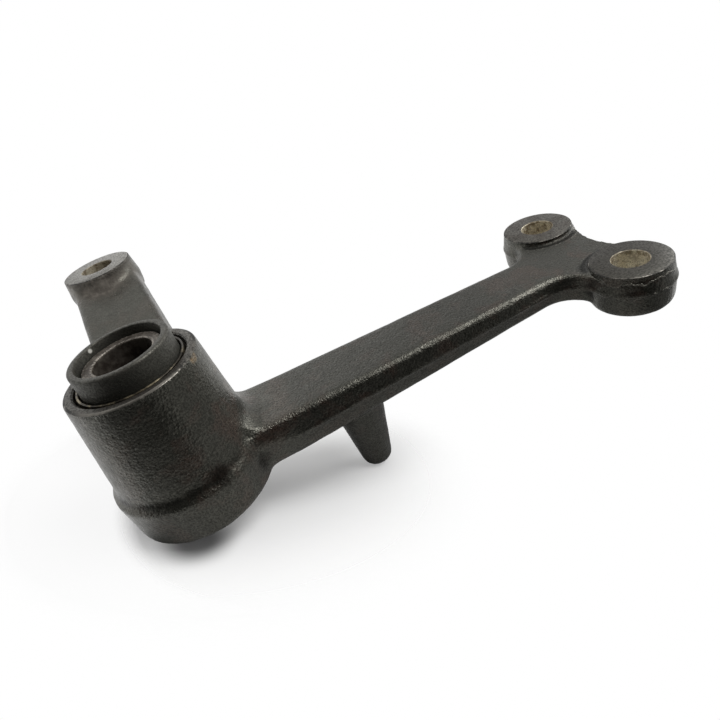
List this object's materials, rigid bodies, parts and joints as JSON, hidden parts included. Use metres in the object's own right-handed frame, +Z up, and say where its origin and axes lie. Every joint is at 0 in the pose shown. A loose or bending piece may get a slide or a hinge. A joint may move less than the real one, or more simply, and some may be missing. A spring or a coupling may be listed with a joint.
{
  "type": "pitman arm",
  "caption": "Forged steering lever with a bushed and sealed pivot hub, a long arm with a forked end for tie rods, a short raised arm for the drag link and a tapered stop peg.",
  "frame": {"origin": "on the pivot axis, in the parting plane of the forging, half way up the long arm's side", "axes": "+Z up along the pivot axis towards the taller end of the hub, +X along the long arm towards the tie rod holes"},
  "size_m": [0.2681, 0.181, 0.1173],
  "materials": {
    "forging": "black oxide scale, oiled",
    "bush": "turned, darkened",
    "seal_case": "pressed, dull",
    "seal_rubber": "moulded, matt"
  },
  "bodies": {
    "root": {"arm_forging": "forging", "upper_bush": "bush", "lower_bush": "bush", "upper_seal_case": "seal_case", "upper_seal_lip": "seal_rubber", "lower_seal_case": "seal_case", "lower_seal_lip": "seal_rubber"}
  },
  "joints": []
}
